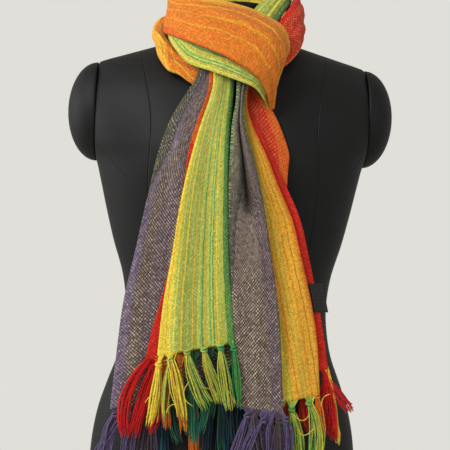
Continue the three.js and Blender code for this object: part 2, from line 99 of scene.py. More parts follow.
def full_turn(count, shift=0.0):
    return (np.arange(count) + shift) / count * 2 * math.pi


# ---- meshes ----
def make_mesh(name, points, faces, uvs=None, flat_faces=()):
    """An object from points in millimetres; uvs maps a layer's name to one pair a point."""
    mesh = bpy.data.meshes.new(name)
    mesh.from_pydata((np.asarray(points, float) * MM).tolist(), [], [list(f) for f in faces])
    mesh.validate()
    mesh.polygons.foreach_set("use_smooth", [True] * len(mesh.polygons))
    for f in flat_faces:
        mesh.polygons[f].use_smooth = False
    corners = np.zeros(len(mesh.loops), dtype=np.int32)
    mesh.loops.foreach_get("vertex_index", corners)
    for layer_name, pairs in (uvs or {}).items():
        layer = mesh.uv_layers.new(name=layer_name)
        layer.uv.foreach_set("vector", np.asarray(pairs, float)[corners].ravel())
    obj = bpy.data.objects.new(name, mesh)
    bpy.context.scene.collection.objects.link(obj)
    return obj


def grid_faces(rows, cols, closed=False):
    span = cols if closed else cols - 1
    i, j = np.meshgrid(np.arange(rows - 1), np.arange(span), indexing="ij")
    k = (j + 1) % cols
    quads = join(i * cols + j, i * cols + k, (i + 1) * cols + k, (i + 1) * cols + j)
    return quads.reshape(-1, 4).tolist()


def tube_faces(rings, sides):
    """A closed tube's faces; the last two close its first and its last ring."""
    last = (rings - 1) * sides
    ends = [list(range(sides))[::-1], [last + k for k in range(sides)]]
    return grid_faces(rings, sides, closed=True) + ends


def cloth_object(name, grid, stripe, weave, material, thick=CLOTH_THICK, shade=None):
    """A woven sheet from a grid of its middle points; shade is painted shade that darkens the
    colour, below 1 deep in a crease.
    """
    rows, cols = grid.shape[:2]
    if shade is None:
        shade = np.ones(grid.shape[:2])
    uvs = {
        "stripe": stripe.reshape(-1, 2) * MM,
        "weave": weave.reshape(-1, 2) * MM,
        "shade": join(shade, shade).reshape(-1, 2),
    }
    obj = make_mesh(name, grid.reshape(-1, 3), grid_faces(rows, cols), uvs)
    obj.data.materials.append(material)
    solid = obj.modifiers.new("wall", "SOLIDIFY")
    solid.thickness = thick * MM
    solid.offset = 0
    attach(obj, "root")
    return obj


# ---- materials ----
# The warp's yarns, in linear colour.
PALETTE = {
    "scarlet": (0.60, 0.014, 0.012), "vermilion": (0.66, 0.095, 0.014),
    "orange": (0.68, 0.165, 0.015), "amber": (0.76, 0.300, 0.025),
    "gold": (0.80, 0.440, 0.040), "lemon": (0.84, 0.660, 0.060),
    "olive": (0.50, 0.440, 0.045), "lime": (0.50, 0.580, 0.080),
    "sage": (0.32, 0.520, 0.110), "moss": (0.32, 0.400, 0.055),
    "fern": (0.15, 0.410, 0.095), "leaf": (0.06, 0.320, 0.075),
    "bottle": (0.04, 0.180, 0.065), "teal": (0.02, 0.110, 0.085),
    "navy": (0.02, 0.035, 0.045), "umber": (0.078, 0.054, 0.048),
    "violet": (0.085, 0.056, 0.090), "purple": (0.125, 0.090, 0.185),
}
# Warp stripes from the red selvedge: where each starts, its yarn, and how much weft shows.
STRIPES = [
    (0, "scarlet", 0.04), (12, "scarlet", 0.15), (50, "vermilion", 0.14),
    (74, "orange", 0.16), (82, "amber", 0.10), (83.2, "orange", 0.16),
    (90, "amber", 0.10), (91.2, "orange", 0.18), (98, "gold", 0.10),
    (99.2, "orange", 0.18), (104, "amber", 0.16), (107, "gold", 0.16),
    (112, "orange", 0.16), (113.2, "gold", 0.16), (120, "amber", 0.16),
    (123, "gold", 0.16), (127, "moss", 0.16), (128.4, "gold", 0.16),
    (134, "moss", 0.16), (135.2, "gold", 0.16), (141, "orange", 0.16),
    (142.2, "gold", 0.16), (149, "olive", 0.14), (150.6, "lemon", 0.12),
    (161, "gold", 0.14), (162.4, "lemon", 0.12), (168, "lime", 0.16),
    (171.5, "lemon", 0.14), (173.5, "sage", 0.18), (177, "olive", 0.18),
    (181, "lemon", 0.14), (183, "moss", 0.24), (189, "sage", 0.20),
    (191, "moss", 0.24), (197, "gold", 0.18), (198.4, "moss", 0.24),
    (204, "lime", 0.20), (208, "sage", 0.18), (210.5, "leaf", 0.18),
    (212.5, "olive", 0.22), (219, "lime", 0.20), (221.5, "fern", 0.18),
    (225, "lime", 0.20), (227, "leaf", 0.20), (229, "olive", 0.22),
    (232.5, "lemon", 0.14), (234.5, "lime", 0.20), (245, "leaf", 0.16),
    (254, "bottle", 0.26), (TEAL_S, "teal", 0.30), (268, "navy", 0.26),
    (UMBER_S, "umber", 0.62), (346, "violet", 0.44), (372, "umber", 0.50),
    (384, "violet", 0.40), (389, "purple", 0.36),
]
# A colour ramp holds 32 stops, so three of them share the stripes.
RAMP_SPANS = [(0, 131), (131, 211), (211, CLOTH_WIDTH)]
YARN_PITCH = 2.0  # of both warp and weft


class Nodes:
    """Short names for building one material's node tree."""

    def __init__(self, name):
        self.material = bpy.data.materials.new(name)
        self.material.use_nodes = True
        self.tree = self.material.node_tree
        self.bsdf = self.tree.nodes["Principled BSDF"]

    def add(self, kind, *inputs, **settings):
        node = self.tree.nodes.new(kind)
        for key, value in settings.items():
            setattr(node, key, value)
        for k, value in enumerate(inputs):
            self.put(node.inputs[k], value)
        return node

    def link(self, out, into):
        self.tree.links.new(out, into)

    def put(self, socket, value):
        if isinstance(value, bpy.types.NodeSocket):
            self.link(value, socket)
        else:
            socket.default_value = value

    def math(self, operation, *values):
        return self.add("ShaderNodeMath", *values, operation=operation).outputs[0]

    def times(self, a, b):
        return self.math("MULTIPLY", a, b)

    def plus(self, a, b):
        return self.math("ADD", a, b)

    def mix(self, share, a, b, blend="MIX"):
        node = self.add("ShaderNodeMix", data_type="RGBA", blend_type=blend)
        self.put(node.inputs["Factor"], share)
        self.put(node.inputs[6], a)
        self.put(node.inputs[7], b)
        return node.outputs[2]

    def uv(self, name):
        node = self.add("ShaderNodeUVMap", uv_map=name)
        parts = self.add("ShaderNodeSeparateXYZ", node.outputs[0])
        return parts.outputs[0], parts.outputs[1]

    def place(self, x, y):
        return self.add("ShaderNodeCombineXYZ", x, y).outputs[0]

    def noise(self, place, scale, detail):
        node = self.add("ShaderNodeTexNoise", place)
        node.inputs["Scale"].default_value = scale
        node.inputs["Detail"].default_value = detail
        return node.outputs["Fac"]

    def random(self, place):
        return self.add("ShaderNodeTexWhiteNoise", place, noise_dimensions="2D").outputs["Value"]

    def grey(self, value):
        return self.add("ShaderNodeCombineColor", value, value, value).outputs[0]

    def span(self, value, low, high, to_low=0.0, to_high=1.0):
        return self.add("ShaderNodeMapRange", value, low, high, to_low, to_high).outputs[0]

    def bump(self, height, distance, strength):
        node = self.add("ShaderNodeBump")
        node.inputs["Strength"].default_value = strength
        node.inputs["Distance"].default_value = distance
        self.link(height, node.inputs["Height"])
        self.link(node.outputs[0], self.bsdf.inputs["Normal"])

    def finish(self, color, roughness, **sockets):
        self.put(self.bsdf.inputs["Base Color"], color)
        self.bsdf.inputs["Roughness"].default_value = roughness
        for name, value in sockets.items():
            self.bsdf.inputs[name.replace("_", " ")].default_value = value
        return self.material


def stripe_colour(n, s):
    """The warp's colour and the weft's share at s, in metres across the cloth."""
    color, share = None, None
    for low, high in RAMP_SPANS:
        node = n.add("ShaderNodeValToRGB")
        ramp = node.color_ramp
        ramp.interpolation = "CONSTANT"
        first = [row for row in STRIPES if row[0] <= low][-1]
        stops = [(low, *first[1:])] + [row for row in STRIPES if low < row[0] < high]
        while len(ramp.elements) > 1:
            ramp.elements.remove(ramp.elements[-1])
        for k, (start, yarn, weft) in enumerate(stops):
            at = (start - low) / (high - low)
            stop = ramp.elements[0] if k == 0 else ramp.elements.new(at)
            stop.position = at
            stop.color = (*PALETTE[yarn], weft)
        n.link(n.span(s, low * MM, high * MM), node.inputs[0])
        if color is None:
            color, share = node.outputs[0], node.outputs[1]
        else:
            past = n.math("GREATER_THAN", s, low * MM)
            color = n.mix(past, color, node.outputs[0])
            share = n.plus(n.times(share, n.math("SUBTRACT", 1.0, past)),
                           n.times(node.outputs[1], past))
    return color, share


def woven_material():
    n = Nodes("woven_cloth")
    s, _ = n.uv("stripe")
    u, v = n.uv("weave")
    # Each yarn wavers a little, and each crossing is a little lighter or darker.
    stripe_wander, yarn_wander = 0.0030, 0.0050
    wander = n.math("SUBTRACT", n.noise(n.place(u, v), 60.0, 1.0), 0.5)
    warp, weft_share = stripe_colour(n, n.plus(s, n.times(wander, stripe_wander)))
    a, b = (
        n.math("DIVIDE", n.plus(axis, n.times(wander, yarn_wander)), YARN_PITCH * MM)
        for axis in (u, v)
    )
    end, pick = n.math("FLOOR", a), n.math("FLOOR", b)
    weft_up = n.math("PINGPONG", n.plus(end, pick), 1.0)
    crown = n.times(*(n.math("ABSOLUTE", n.math("SINE", n.times(t, math.pi))) for t in (a, b)))
    spun = n.random(n.place(end, pick))
    fleck = n.random(n.place(pick, end))
    # Past the green stripes the warp is dark and the weft pale, so the crossings stand out.
    dark_zone = n.span(s, TEAL_S * MM, 0.300)
    bright = n.mix(spun, (0.60, 0.40, 0.10, 1), (0.92, 0.72, 0.32, 1))
    warm = n.mix(spun, (0.62, 0.24, 0.03, 1), (0.88, 0.50, 0.12, 1))
    pale = n.mix(spun, (0.26, 0.200, 0.150, 1), (0.47, 0.380, 0.295, 1))
    # The red and orange stripes are crossed by the warm weft.
    in_warm = n.times(n.span(s, 0.020, 0.066, 0.3, 1.0), n.span(s, 0.160, 0.145))
    weft = n.mix(dark_zone, n.mix(in_warm, bright, warm), pale)
    weft_strength = n.span(spun, 0, 1, 1.1, 2.1)
    show = n.times(n.times(weft_up, weft_share), weft_strength)
    color = n.mix(n.math("MINIMUM", show, 1.0), warp, weft)
    contrast = n.span(dark_zone, 0, 1, 0.20, 0.32)
    tone = n.plus(1.0, n.times(contrast, n.span(fleck, 0, 1, -1.0, 1.0)))
    # Painted shade and painted highlight: the colour is darker in the holes between the yarns,
    # where shade falls, and a little brighter on the yarns' crowns, where light falls.
    hole_shade_depth, crown_highlight = 0.35, 1.14
    hole = n.times(n.span(crown, 0.0, 0.5, 1.0, 0.0), hole_shade_depth)
    tone = n.times(tone, n.math("SUBTRACT", crown_highlight, hole))
    # Painted shade: the shade layer darkens the colour deep in a crease.
    shade, _ = n.uv("shade")
    color = n.mix(1.0, color, n.grey(n.times(tone, shade)), "MULTIPLY")
    n.bump(n.plus(crown, n.times(spun, 0.5)), 0.0006, 0.6)
    return n.finish(color, 0.85, Sheen_Weight=0.05, Sheen_Roughness=0.5, Specular_IOR_Level=0.1)


def yarn_material():
    n = Nodes("yarn")
    s, v = n.uv("stripe")
    warp, _ = stripe_colour(n, s)
    # No pale weft crosses the loose yarns, so the teal and navy ones look bluer than in the cloth.
    cold = n.times(n.math("GREATER_THAN", s, TEAL_S * MM), n.math("LESS_THAN", s, UMBER_S * MM))
    warp = n.mix(cold, warp, (0.78, 1.05, 1.45, 1), "MULTIPLY")
    fleck = n.noise(n.place(n.times(s, 900.0), n.times(v, 260.0)), 1.0, 2.0)
    color = n.mix(1.0, warp, n.grey(n.span(fleck, 0.2, 0.8, 0.6, 1.35)), "MULTIPLY")
    n.bump(fleck, 0.0004, 0.6)
    return n.finish(color, 0.8, Sheen_Weight=0.1, Sheen_Roughness=0.4, Specular_IOR_Level=0.15)


def form_material():
    n = Nodes("form_jersey")
    d, _ = n.uv("seam")
    groove_half, knit_height = 0.0011, 0.12
    groove = n.span(n.math("ABSOLUTE", d), 0.0, groove_half)
    knit = n.noise(n.add("ShaderNodeTexCoord").outputs["Object"], 900, 3)
    # Painted shade: the colour is a little darker in the seams' grooves, where shade falls.
    color = n.mix(groove, (0.002, 0.002, 0.002, 1), (0.005, 0.005, 0.005, 1))
    height = n.plus(groove, n.times(knit, knit_height))
    n.bump(height, 0.0012, 0.8)
    return n.finish(color, 0.6, Specular_IOR_Level=0.27)


def label_material():
    n = Nodes("label_weave")
    u, v = n.uv("stripe")
    thread_pitch, stitch_pitch, stitch_half = 0.0009, 0.004, 0.0005
    stitch_lines = (0.0022, 0.0148)  # across the label
    thread = n.math("SINE", n.times(v, 2 * math.pi / thread_pitch))
    edge = n.math("MINIMUM", *(n.math("ABSOLUTE", n.math("SUBTRACT", u, line))
                               for line in stitch_lines))
    dash = n.math("SINE", n.times(v, 2 * math.pi / stitch_pitch))
    stitch = n.times(n.math("LESS_THAN", edge, stitch_half), n.math("GREATER_THAN", dash, -0.2))
    color = n.mix(stitch, (0.008, 0.008, 0.009, 1), (0.035, 0.034, 0.033, 1))
    n.bump(n.plus(n.times(thread, 0.5), stitch), 0.0003, 0.6)
    return n.finish(color, 0.55, Sheen_Weight=0.1, Specular_IOR_Level=0.4)


WOVEN = woven_material()
YARN = yarn_material()
JERSEY = form_material()

# ---- the dress form ----
# At each height: half the width, the depth to the front and to the back, and how square it is.
FORM = Table("z half front back square", [
    (0, 162, 101, 112, 2.25), (50, 165, 104, 117, 2.25), (100, 163, 103, 118, 2.25),
    (141, 156, 99, 114, 2.25), (175, 145, 94, 107, 2.25), (211, 132, 88, 98, 2.25),
    (245, 126, 85, 91, 2.25), (275, 125, 85, 88, 2.25), (310, 130, 88, 89, 2.25),
    (350, 142, 94, 93, 2.25), (390, 152, 100, 98, 2.25), (425, 160, 104, 102, 2.25),
    (448, 166, 105, 104, 2.25), (470, 177, 104, 105, 2.25), (500, 183, 100, 104, 2.25),
    (530, 182, 90, 99, 2.25), (552, 175, 78, 90, 2.1), (568, 167, 66, 80, 1.8),
    (578, 137, 59, 72, 1.8), (590, 97, 54, 65, 1.8), (600, 66, 52, 59, 1.8),
    (608, 54, 51, 54, 2.0), (625, 51, 50, 52, 2.0), (642, 51, 50, 52, 2.0),
])
BUST = {"x": 70, "z": 447, "spread_x": 40, "spread_z": 46, "height": 11}
CAP = {"y": 4, "z": 508, "half_depth": 52, "half_height": 61, "reach": 36}
CAP_TURNS = 72
CAP_RINGS = 22
CAP_END = 0.985
FORM_TURNS = 192
FORM_RISE = 4.0
RIM = 1.6  # the rounding of the base and of the neck's top
RIM_RING = {"below_top": 0.4, "shrink": 0.35}
# The panels' seams: how far out the front and back princess seams run at each height.
SEAMS = Table("z front back", [
    (0, 88, 80), (150, 82, 74), (275, 76, 62), (343, 92, 76),
    (415, 100, 88), (480, 98, 92), (509, 100, 96), (575, 112, 110),
])
DARTS = [((-157, 457), (-128, 424)), ((157, 457), (128, 424))]  # x and z of both ends
SEAMS_TOP = 590
SIDE_SEAM = {"past_x": 100, "y": 4}
BACK_SEAM_PAST_Y = 20
SEAM_FAR = 50.0  # given where no seam is near


def form_ring(z, turns, shrink):
    half, front, back, square = (FORM.at(name, z) for name in FORM.names[1:])
    c, s = np.cos(turns), np.sin(turns)
    x = (half - shrink) * np.sign(c) * np.abs(c) ** (2 / square)
    depth = np.where(s < 0, front, back) - shrink
    y = depth * np.sign(s) * np.abs(s) ** (2 / square)
    swell = np.exp(-(((np.abs(x) - BUST["x"]) / BUST["spread_x"]) ** 2)
                   - ((z - BUST["z"]) / BUST["spread_z"]) ** 2)
    y = np.where(s < 0, y - BUST["height"] * swell, y)
    x = np.clip(x, -ARMHOLE_X, ARMHOLE_X)
    return join(x, y, np.full_like(x, z))


def seam_uv(mesh):
    """Signed distance to the seam nearest each face, kept apart for each face's corners."""
    points = np.array([v.co[:] for v in mesh.vertices]) / MM
    layer = mesh.uv_layers.new(name="seam")
    for face in mesh.polygons:
        p = points[list(face.vertices)]
        middle = p.mean(axis=0)
        x, y, z = p.T
        choices = [np.full(len(p), SEAM_FAR)]
        if z.max() < SEAMS_TOP:
            name = "front" if middle[1] < 0 else "back"
            side = math.copysign(1, middle[0])
            choices.append(x - side * SEAMS.at(name, z))
            if abs(middle[0]) > SIDE_SEAM["past_x"]:
                choices.append(y - SIDE_SEAM["y"])
            if middle[1] > BACK_SEAM_PAST_Y:
                choices.append(x)
            if middle[1] < 0:
                for (x0, z0), (x1, z1) in DARTS:
                    length = math.hypot(x1 - x0, z1 - z0)
                    run = np.array([x1 - x0, z1 - z0]) / length
                    at = (middle[0] - x0) * run[0] + (middle[2] - z0) * run[1]
                    if 0 < at < length:
                        choices.append((x - x0) * run[1] - (z - z0) * run[0])
        best = min(choices, key=lambda d: abs(d.mean()))
        for corner, d in zip(face.loop_indices, best):
            layer.uv[corner].vector = (float(np.clip(d, -SEAM_FAR, SEAM_FAR)) * MM, 0)


def build_form():
    turns = full_turn(FORM_TURNS, 0.5)
    top = FORM.rows[-1, 0]
    rim = [top - RIM, top - RIM_RING["below_top"], top]
    levels = np.concatenate([[0.0], np.arange(RIM, top - RIM, FORM_RISE), rim])
    shrinks = [RIM] + [0.0] * (len(levels) - 3) + [RIM * RIM_RING["shrink"], RIM]
    rings = np.array([form_ring(z, turns, shrink) for z, shrink in zip(levels, shrinks)])
    faces = tube_faces(len(levels), FORM_TURNS)
    torso = make_mesh("form_body", rings.reshape(-1, 3), faces,
                      flat_faces=(len(faces) - 1, len(faces) - 2))
    seam_uv(torso.data)
    torso.data.materials.append(JERSEY)
    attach(torso, "root")
    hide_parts("form_torso")
    for side, node in ((-1, "form_cap_left"), (1, "form_cap_right")):
        turns = full_turn(CAP_TURNS) * side
        lifts = np.linspace(0, CAP_END, CAP_RINGS) * math.pi / 2
        rings = [
            np.stack([
                np.full_like(turns, side * (ARMHOLE_X + SEAM_GAP + CAP["reach"] * math.sin(lift))),
                CAP["y"] + CAP["half_depth"] * math.cos(lift) * np.cos(turns),
                CAP["z"] + CAP["half_height"] * math.cos(lift) * np.sin(turns),
            ], -1)
            for lift in lifts
        ]
        points = np.array(rings).reshape(-1, 3)
        faces = tube_faces(CAP_RINGS, CAP_TURNS)
        no_seam = {"seam": np.full((len(points), 2), SEAM_FAR * MM)}
        cap = make_mesh(node + "_dome", points, faces, no_seam, (len(faces) - 2,))
        cap.data.materials.append(JERSEY)
        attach(cap, "root")
        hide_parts(node)


# ---- hanging tails ----
class Tail:
    """Cloth folded lengthwise. levels is how far back each layer lies, hems how high each fold
    ends; a row's x and s are where each fold is and the stripe on it."""

    def __init__(self, levels, hems, hem_curve, middle, top, rows):
        folds = len(levels) + 1
        names = ["z"] + [f"x{k}" for k in range(folds)] + [f"s{k}" for k in range(folds)]
        self.table = Table(" ".join(names + ["front", "round", "wave"]), rows)
        self.levels, self.hems, self.hem_curve = levels, hems, hem_curve
        self.middle, self.top = middle, top

    def hem(self, k, along):
        share = along**self.hem_curve if k == len(self.levels) - 1 else along
        return self.hems[k] + (self.hems[k + 1] - self.hems[k]) * share

    def bend(self, k):
        if k < 0 or k >= len(self.levels) - 1:
            return 0.0
        return min(LAYER_GAP, abs(self.levels[k + 1] - self.levels[k]) * LAYER_GAP / 2)

    def surface(self, x, z):
        """How far forward the front layer's middle is."""
        y = self.table.at("front", z)
        y = y + self.table.at("round", z) * (x - self.middle) ** 2
        strength = self.table.at("wave", z)
        for length, height, phase, drift in WAVES:
            y = y + strength * height * np.sin(2 * np.pi * x / length + phase + drift * z)
        return y

    def point(self, k, along, z, turn=None):
        """A point of layer k, or, with turn from 0 to 1, of the fold after it; and its s."""
        a, b = self.table.at(f"x{k}", z), self.table.at(f"x{k + 1}", z)
        run = np.sign(b - a)
        start, end = a + run * self.bend(k - 1), b - run * self.bend(k)
        depth = self.levels[k] * LAYER_GAP
        if turn is None:
            x = start + (end - start) * along
        else:
            x = end + run * self.bend(k) * math.sin(turn * math.pi)
            half = (self.levels[k + 1] - self.levels[k]) * LAYER_GAP / 2
            depth = depth + half * (1 - math.cos(turn * math.pi))
        last = k == len(self.levels) - 1
        s0 = self.table.at(f"s{k}", z) + (FOLD_CLOTH if k else 0)
        s1 = self.table.at(f"s{k + 1}", z) - (0 if last else FOLD_CLOTH)
        s = s0 + (s1 - s0) * along
        if turn is not None:
            s = s + 2 * FOLD_CLOTH * turn
        return join(x, self.surface(x, z) + depth, z), s


FOLD_CLOTH = 2.6  # half the cloth that goes round a fold
# Waves across a tail: length, height, phase, and how they drift with z.
WAVES = [(47, 1.5, 0.4, 0.0), (23, 0.6, 1.9, 0.004)]
TAIL_A = Tail([2, 1, 0, 3], [203, 230, 220, 237, 156], 0.32, -45, 557, [
    # z   x0   x1   x2   x3   x4   s0  s1   s2   s3   s4   front  round  wave
    (562, -33, -12, -29, -3, -42, 60, 88, 170, 255, 400, -112.9, 0.005, 0),
    (540, -32, -10, -27, -3, -48, 60, 88, 170, 255, 400, -116.9, 0.005, 0.4),
    (520, -35, -10, -30, -4, -60, 60, 88, 169, 255, 400, -120.9, 0.0045, 0.7),
    (488, -46, -12, -40, -6.5, -77, 58, 88, 167, 255, 400, -127.3, 0.003, 0.9),
    (452, -55, -14, -50, -7.5, -89, 40, 88, 164, 255, 400, -133, 0.0012, 1),
    (400, -60, -14, -61, -6, -100, 12, 88, 161, 256, 400, -134, 0.0008, 1),
    (335, -70, -14, -70, -3, -113, 0, 88, 158, 257, 400, -133, 0.0007, 1),
    (282, -82, -15, -78, 2.5, -124, 0, 88, 155, 258, 400, -132, 0.0006, 1),
    (240, -93, -16, -82, 7.5, -129, 0, 88, 152, 259, 400, -131, 0.0005, 1),
    (150, -108, -18, -88, 15, -137, 0, 88, 150, 260, 400, -129, 0.0004, 1),
])
TAIL_B = Tail([5, 4, 3, 2, 1, 0], [208, 186, 178, 160, 158, 162, 157], 1, 30, 557, [
    # z   x0 x1 x2  x3  x4  x5  x6  s0 s1  s2   s3   s4   s5   s6   front  round  wave
    (562, 22, 6, 19, 1, 16, 0, 13, 0, 60, 100, 170, 256, 262, 392, -113, 0.005, 0),
    (540, 18, 4, 15, 1, 13, 0, 10, 0, 60, 100, 170, 256, 262, 392, -117.5, 0.005, 0.3),
    (513, 15, 3, 12, 0, 9, -1, 6, 0, 60, 100, 170, 256, 262, 392, -124.7, 0.004, 0.5),
    (488, 25, 4, 18, -2, 10, -5, 7, 0, 60, 100, 172, 256, 263, 392, -132, 0.003, 0.7),
    (447, 44, 10, 37, -2, 20, -7, 19, 0, 60, 100, 176, 258, 266, 390, -139, 0.0012, 0.9),
    (420, 58, 14, 48, -2, 27, -7.5, 26, 0, 60, 100, 180, 262, 270, 384, -141, 0.0009, 1),
    (380, 76, 20, 66, 0, 35, -6.5, 35, 0, 60, 100, 188, 270, 280, 376, -141, 0.0007, 1),
    (335, 88, 26, 78, 4, 41, -4, 43, 0, 60, 100, 192, 276, 290, 370, -140, 0.0006, 1),
    (285, 100, 32, 91, 9, 48, 0, 51.5, 0, 60, 101, 198, 280, 298, 366, -138, 0.0005, 1),
    (241, 109, 38, 99, 13, 52, 4.5, 56, 0, 60, 103, 204, 280, 300, 364, -137, 0.0004, 1),
    (150, 122, 46, 106, 20, 60, 14, 62, 0, 60, 114, 220, 280, 300, 362, -135, 0.0004, 1),
])
DRAPE = Tail([0, 1], [440, 404, 430], 1, 40, 534, [
    # z  x0  x1  x2 s0  s1   s2   front round wave
    (540, 20, 22, 24, 1, 68, 100, -92.3, 0, 0),
    (532, 6, 22, 16, 1, 68, 100, -94.3, 0, 0),
    (522, 6, 29, 12, 1, 68, 100, -98.3, 0, 0.2),
    (508, 8, 41, 10, 1, 68, 100, -103.3, 0, 0.5),
    (483, 12, 53, 12, 1, 68, 100, -111.3, 0, 0.8),
    (455, 18, 62, 18, 3, 68, 100, -117.3, 0, 1),
    (436, 26, 61, 26, 6, 68, 100, -120.3, 0, 1),
    (415, 36, 60, 36, 9, 68, 100, -121.3, 0, 1),
])
TAIL_ROWS = 120
ROW_POWER = 0.95
COLUMN_PITCH = 2.4
FOLD_TURNS = (0.14, 0.3, 0.5, 0.7, 0.86)
GATHERS = {"count": 4, "phase": 0.6, "fade_z": 400}  # pleats where a tail leaves the knot


def tail_sheet(name, tail, gather, front_form=None):
    """gather is the height of the pleats where the cloth goes into the knot."""
    down = (np.arange(TAIL_ROWS) / (TAIL_ROWS - 1)) ** ROW_POWER
    blocks, stripes, shades = [], [], []
    for k in range(len(tail.levels)):
        low_z = tail.hem(k, 0.5)
        width = abs(tail.table.at(f"x{k + 1}", low_z) - tail.table.at(f"x{k}", low_z))
        count = max(6, int(width / COLUMN_PITCH))
        columns = [(along, None) for along in np.linspace(0, 1, count)]
        if k + 1 < len(tail.levels):
            columns += [(1.0, t) for t in FOLD_TURNS]
        for along, turn in columns:
            hem = tail.hem(k, along)
            z = tail.top + (hem - tail.top) * down
            points, s = tail.point(k, along, z, turn)
            # Pleats run down from the knot, through all the layers alike.
            sides = np.stack([tail.table.at(f"x{j}", z) for j in range(len(tail.levels) + 1)])
            low_x, high_x = sides.min(axis=0), sides.max(axis=0)
            over = (points[:, 0] - low_x) / (high_x - low_x)
            pleat = np.sin(2 * np.pi * GATHERS["count"] * over + GATHERS["phase"])
            points[:, 1] += gather * ease(GATHERS["fade_z"], tail.top, z) * pleat
            if front_form is not None and tail.levels[k] == 0 and turn is None:
                points[:, 1] += front_form(z, along)
            if tail is TAIL_A and k == len(tail.levels) - 1:
                s = turned_edge(s, z, along)
            # shade is painted shade: 1 for the plain colour, lower where tail_b's crease darkens
            # it.
            shade = np.ones_like(z)
            if tail is TAIL_B and k == len(tail.levels) - 1:
                s = creased(s, z, along)
                shade = crease_shade(z, along)
            blocks.append(points)
            stripes.append(join(s, z - hem))
            shades.append(shade)
    grid = np.stack(blocks, axis=1)
    stripe = np.stack(stripes, axis=1)
    return cloth_object(name, grid, stripe, stripe, WOVEN, shade=np.stack(shades, axis=1))


TURNED = {"share": 0.2, "z": (400, 470), "s": 300, "s_fall": 22}


def turned_edge(s, z, along):
    """The back panel's outer edge is folded over near the knot, and its dark side shows."""
    start = 1 - TURNED["share"] * ease(*TURNED["z"], z)
    low = TAIL_A.table.at("s3", z)
    stretched = low + (CLOTH_WIDTH - low) * along / start
    # 1.001 keeps the share finite where nothing is folded over.
    turned = TURNED["s"] - TURNED["s_fall"] * (along - start) / (1.001 - start)
    return np.where(along <= start, np.minimum(stretched, CLOTH_WIDTH), turned)


CREASE = 0.52  # across the front layer of the tail
LOBES = {"height": 9.5, "steepness": 0.6, "z": (372, 430), "top_z": (495, 530), "top_loss": 0.6}
# The crease's painted shade: how wide it is, how much wider it gets in the pocket, and how dark it
# is.
CREASE_WIDTH, POCKET_WIDTH, CREASE_SHADE_STRENGTH = 0.09, 0.11, 0.88


def tail_b_front(z, along):
    """Two soft lobes with a deep crease between them, where the tail leaves the knot."""
    half_turns = along / CREASE if along < CREASE else (along - CREASE) / (1 - CREASE)
    strength = ease(*LOBES["z"], z) * (1 - LOBES["top_loss"] * ease(*LOBES["top_z"], z))
    return -LOBES["height"] * strength * math.sin(math.pi * half_turns) ** LOBES["steepness"]


def creased(s, z, along):
    """The crease lies where the dark stripe ends: one lobe is teal and the other mauve."""
    low, high = TAIL_B.table.at("s5", z), TAIL_B.table.at("s6", z)
    if along < CREASE:
        moved = low + (UMBER_S - low) * along / CREASE
    else:
        moved = UMBER_S + (high - UMBER_S) * (along - CREASE) / (1 - CREASE)
    return s + (moved - s) * ease(360, 440, z)


def crease_shade(z, along):
    """Painted shade: little light reaches the bottom of the crease, which ends in a small pocket,
    so its colour is darkened there.
    """
    width = CREASE_WIDTH + POCKET_WIDTH * ease(470, 400, z)
    deep = np.exp(-(((along - CREASE) / width) ** 2)) * ease(372, 398, z)
    return 1 - CREASE_SHADE_STRENGTH * deep


# ---- strands round the neck ----
# u is a cut's upper edge, l its lower edge and g the inner layer's; bulge is how far it rounds.
UPPER = Table("ux uy uz lx ly lz bulge gx gy gz", [
    (41, -108, 507, 39, -113, 507, 1.5, 37.5, -109, 507),
    (43.5, -107, 538, 34, -125, 522, 5, 31, -118, 517),
    (54, -101, 564, 25, -133, 537, 9, 22, -124, 527),
    (60, -96, 579, 17, -136, 544, 12, 13, -127, 532),
    (59, -92, 592, 7, -135, 551, 14, 2, -127, 536),
    (52, -88, 606, -5, -132, 558, 14, -12, -124, 541),
    (37, -84, 616, -19, -126, 566, 14, -31, -117, 548),
    (17, -79, 626, -36, -116, 574, 14, -48, -106, 554),
    (-6, -74, 633, -53, -102, 582, 13, -61, -96, 562),
    (-35, -63, 643, -75, -76, 593, 10, -76, -76, 583),
    (-55, -38, 657, -87, -44, 604, 8, -81, -42, 602),
    (-63, -6, 672, -79, -6, 630, 7, -73, -6, 624),
    (-52, 30, 680, -66, 38, 640, 7, -61, 35, 634),
    (-29, 53, 683, -38, 66, 643, 7, -35, 61, 637),
    (0, 60, 684, 0, 75, 644, 7, 0, 70, 638),
    (29, 53, 683, 38, 66, 643, 7, 35, 61, 637),
    (50, 30, 680, 64, 36, 642, 7, 60, 33, 636),
    (56, 2, 673, 71, 2, 640, 6, 67, 2, 635),
    (44.5, -34.5, 654, 65, -33.5, 640, 5.4, 60, -31, 637),
    (25, -58, 632, 48, -56, 612, 5, 44, -52, 611),
    (10, -71, 608, 36, -72, 588, 4, 32, -68, 587),
    (-4, -88, 584, 20, -90, 569, 3, 18, -86, 567),
], numbered=True)
UPPER_S = Table("n fold lower inner", [
    (0, 110, 73.5, 238), (8, 110, 73.5, 238), (11, 135, 73.5, 235), (12.2, 158, 130, 200),
    (13.6, 170, 215, 140), (17, 196, 262, 112), (21, 204, 262, 112),
])
